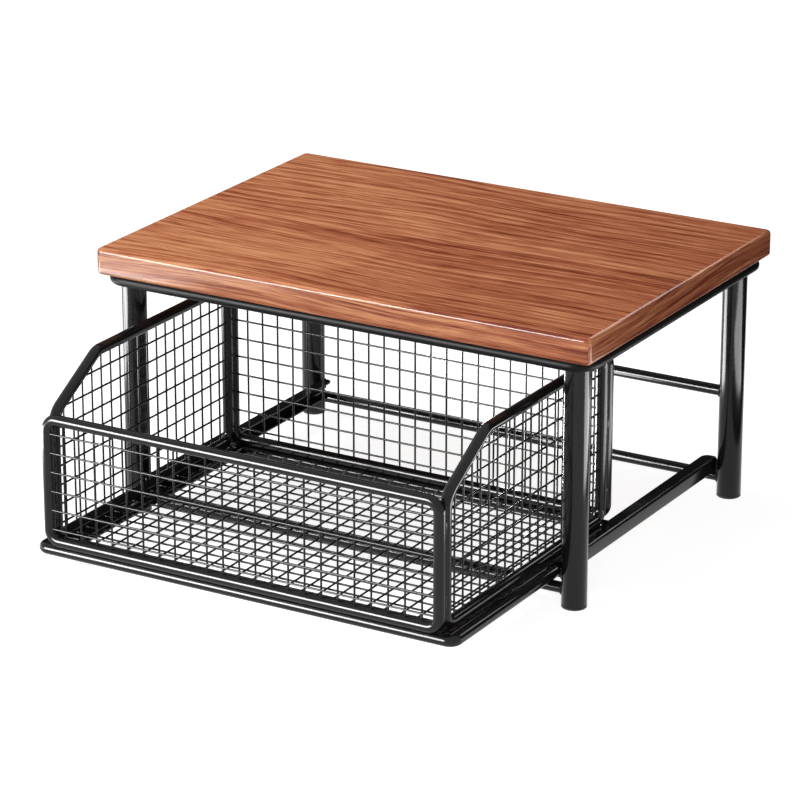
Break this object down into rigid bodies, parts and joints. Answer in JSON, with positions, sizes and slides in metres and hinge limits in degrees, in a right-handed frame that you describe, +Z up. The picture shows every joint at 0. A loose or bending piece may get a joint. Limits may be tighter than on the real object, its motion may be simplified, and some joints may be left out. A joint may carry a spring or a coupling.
{
  "type": "countertop shelf with pull-out basket",
  "caption": "Low countertop shelf: a wooden board on a black tube frame, with a wire-mesh basket that slides out on rails.",
  "frame": {"origin": "on the counter, under the middle of the whole footprint with the basket drawn out as in the picture", "axes": "+X to the right along the front, +Y to the rear, +Z up; the basket pulls out along -Y"},
  "size_m": [0.44, 0.4578, 0.225],
  "materials": {
    "board_wood": "satin varnish",
    "frame_black": "gloss black powder coat",
    "wire_black": "gloss black powder coat",
    "foot_plastic": "matte",
    "screw_steel": "zinc plated"
  },
  "bodies": {
    "frame": {"top_board": "board_wood", "top_ring": "frame_black", "front_left_leg": "frame_black", "front_right_leg": "frame_black", "rear_left_leg": "frame_black", "rear_right_leg": "frame_black", "front_left_foot": "foot_plastic", "front_right_foot": "foot_plastic", "rear_left_foot": "foot_plastic", "rear_right_foot": "foot_plastic", "left_rail": "frame_black", "right_rail": "frame_black", "rear_upper_crossbar": "frame_black", "rear_lower_crossbar": "frame_black", "front_lower_crossbar": "frame_black", "board_tabs": "frame_black", "board_screws": "screw_steel"},
    "basket": {"slide_frame": "frame_black", "left_slide_strip": "frame_black", "right_slide_strip": "frame_black", "slide_mid_bar": "frame_black", "front_loop": "frame_black", "rear_loop": "frame_black", "left_side_loop": "frame_black", "right_side_loop": "frame_black", "front_mesh_uprights": "wire_black", "front_mesh_cross_wires": "wire_black", "rear_mesh_uprights": "wire_black", "rear_mesh_cross_wires": "wire_black", "left_mesh_uprights": "wire_black", "left_mesh_cross_wires": "wire_black", "right_mesh_uprights": "wire_black", "right_mesh_cross_wires": "wire_black", "floor_cross_wires": "wire_black", "floor_long_wires": "wire_black"}
  },
  "joints": [
    {"name": "basket_slide", "type": "slide", "parent": "frame", "child": "basket", "axis": [0, -1, 0], "range_m": [-0.15875, 0.04]}
  ]
}
